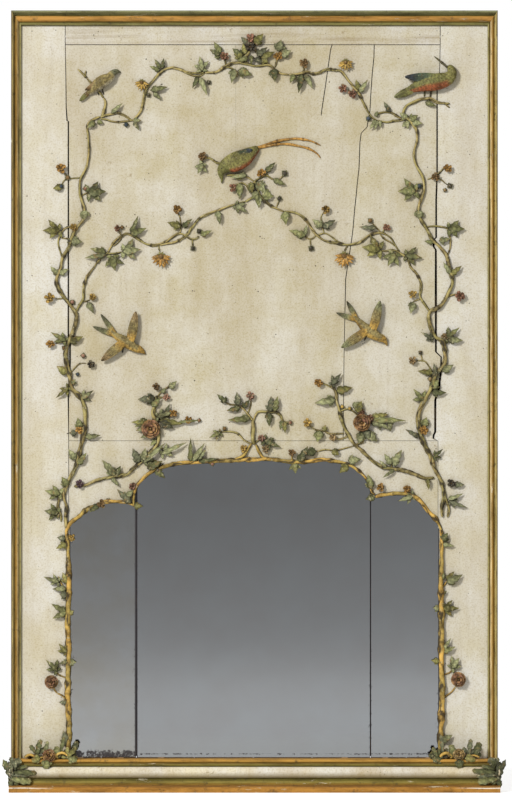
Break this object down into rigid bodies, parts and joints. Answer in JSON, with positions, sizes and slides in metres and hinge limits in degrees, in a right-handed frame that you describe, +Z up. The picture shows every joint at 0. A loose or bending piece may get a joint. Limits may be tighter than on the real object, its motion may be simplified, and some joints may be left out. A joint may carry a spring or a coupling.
{
  "type": "overmantel mirror",
  "caption": "Tall painted overmantel mirror: arched three-part glass under panelled boards carved with flowering vines and birds, on a moulded base.",
  "frame": {"origin": "middle of the bottom edge of the back face, where the wall meets the shelf", "axes": "+X to the viewer's right, +Z up, +Y into the wall; the mirror faces -Y"},
  "size_m": [1.587, 0.1145, 2.508],
  "materials": {
    "cream_paint": "worn cream paint on softwood boards",
    "bare_pine": "bare aged softwood",
    "green_paint": "worn olive green paint, rubbed",
    "ochre_paint": "worn ochre paint, rubbed",
    "carved_stems": "carved wood, ochre-brown paint with crazing",
    "carved_sprays": "carved wood, green leaves and red-brown roses",
    "carved_birds": "carved wood, polychrome paint",
    "silvered_glass": "aged silvered plate, greyed and lightly foxed",
    "iron": "dark rusted iron"
  },
  "bodies": {
    "root": {"left_stile": "cream_paint", "right_stile": "cream_paint", "top_rail": "cream_paint", "left_board": "cream_paint", "middle_board": "cream_paint", "right_board": "cream_paint", "arch_rail": "cream_paint", "left_spandrel": "cream_paint", "right_spandrel": "cream_paint", "left_moulding": "green_paint", "right_moulding": "green_paint", "top_moulding": "green_paint", "plinth_board": "ochre_paint", "core_rail": "bare_pine", "foot_moulding": "green_paint", "frieze": "cream_paint", "sill_board": "ochre_paint", "dowels": "bare_pine", "left_plate": "silvered_glass", "centre_plate": "silvered_glass", "right_plate": "silvered_glass", "setting_slips": "bare_pine", "backboards": "bare_pine", "joint_linens": "bare_pine", "left_back_stile": "bare_pine", "right_back_stile": "bare_pine", "cross_battens": "bare_pine", "batten_screws": "iron", "hanging_plates": "iron", "plate_screws": "iron", "left_vine": "carved_stems", "right_vine": "carved_stems", "top_garland_left": "carved_stems", "top_garland_centre": "carved_stems", "top_garland_right": "carved_stems", "mid_garland_left": "carved_stems", "mid_garland_centre": "carved_stems", "mid_garland_right": "carved_stems", "left_rose_spray": "carved_sprays", "centre_spray": "carved_sprays", "right_rose_spray": "carved_sprays", "left_border": "carved_stems", "right_border": "carved_stems", "arch_border": "carved_stems", "left_corner_spray": "carved_sprays", "right_corner_spray": "carved_sprays", "left_base_leaves": "carved_sprays", "right_base_leaves": "carved_sprays", "small_bird": "carved_birds", "long_billed_bird": "carved_birds", "long_tailed_bird": "carved_birds", "left_swallow": "carved_birds", "right_swallow": "carved_birds"}
  },
  "joints": []
}
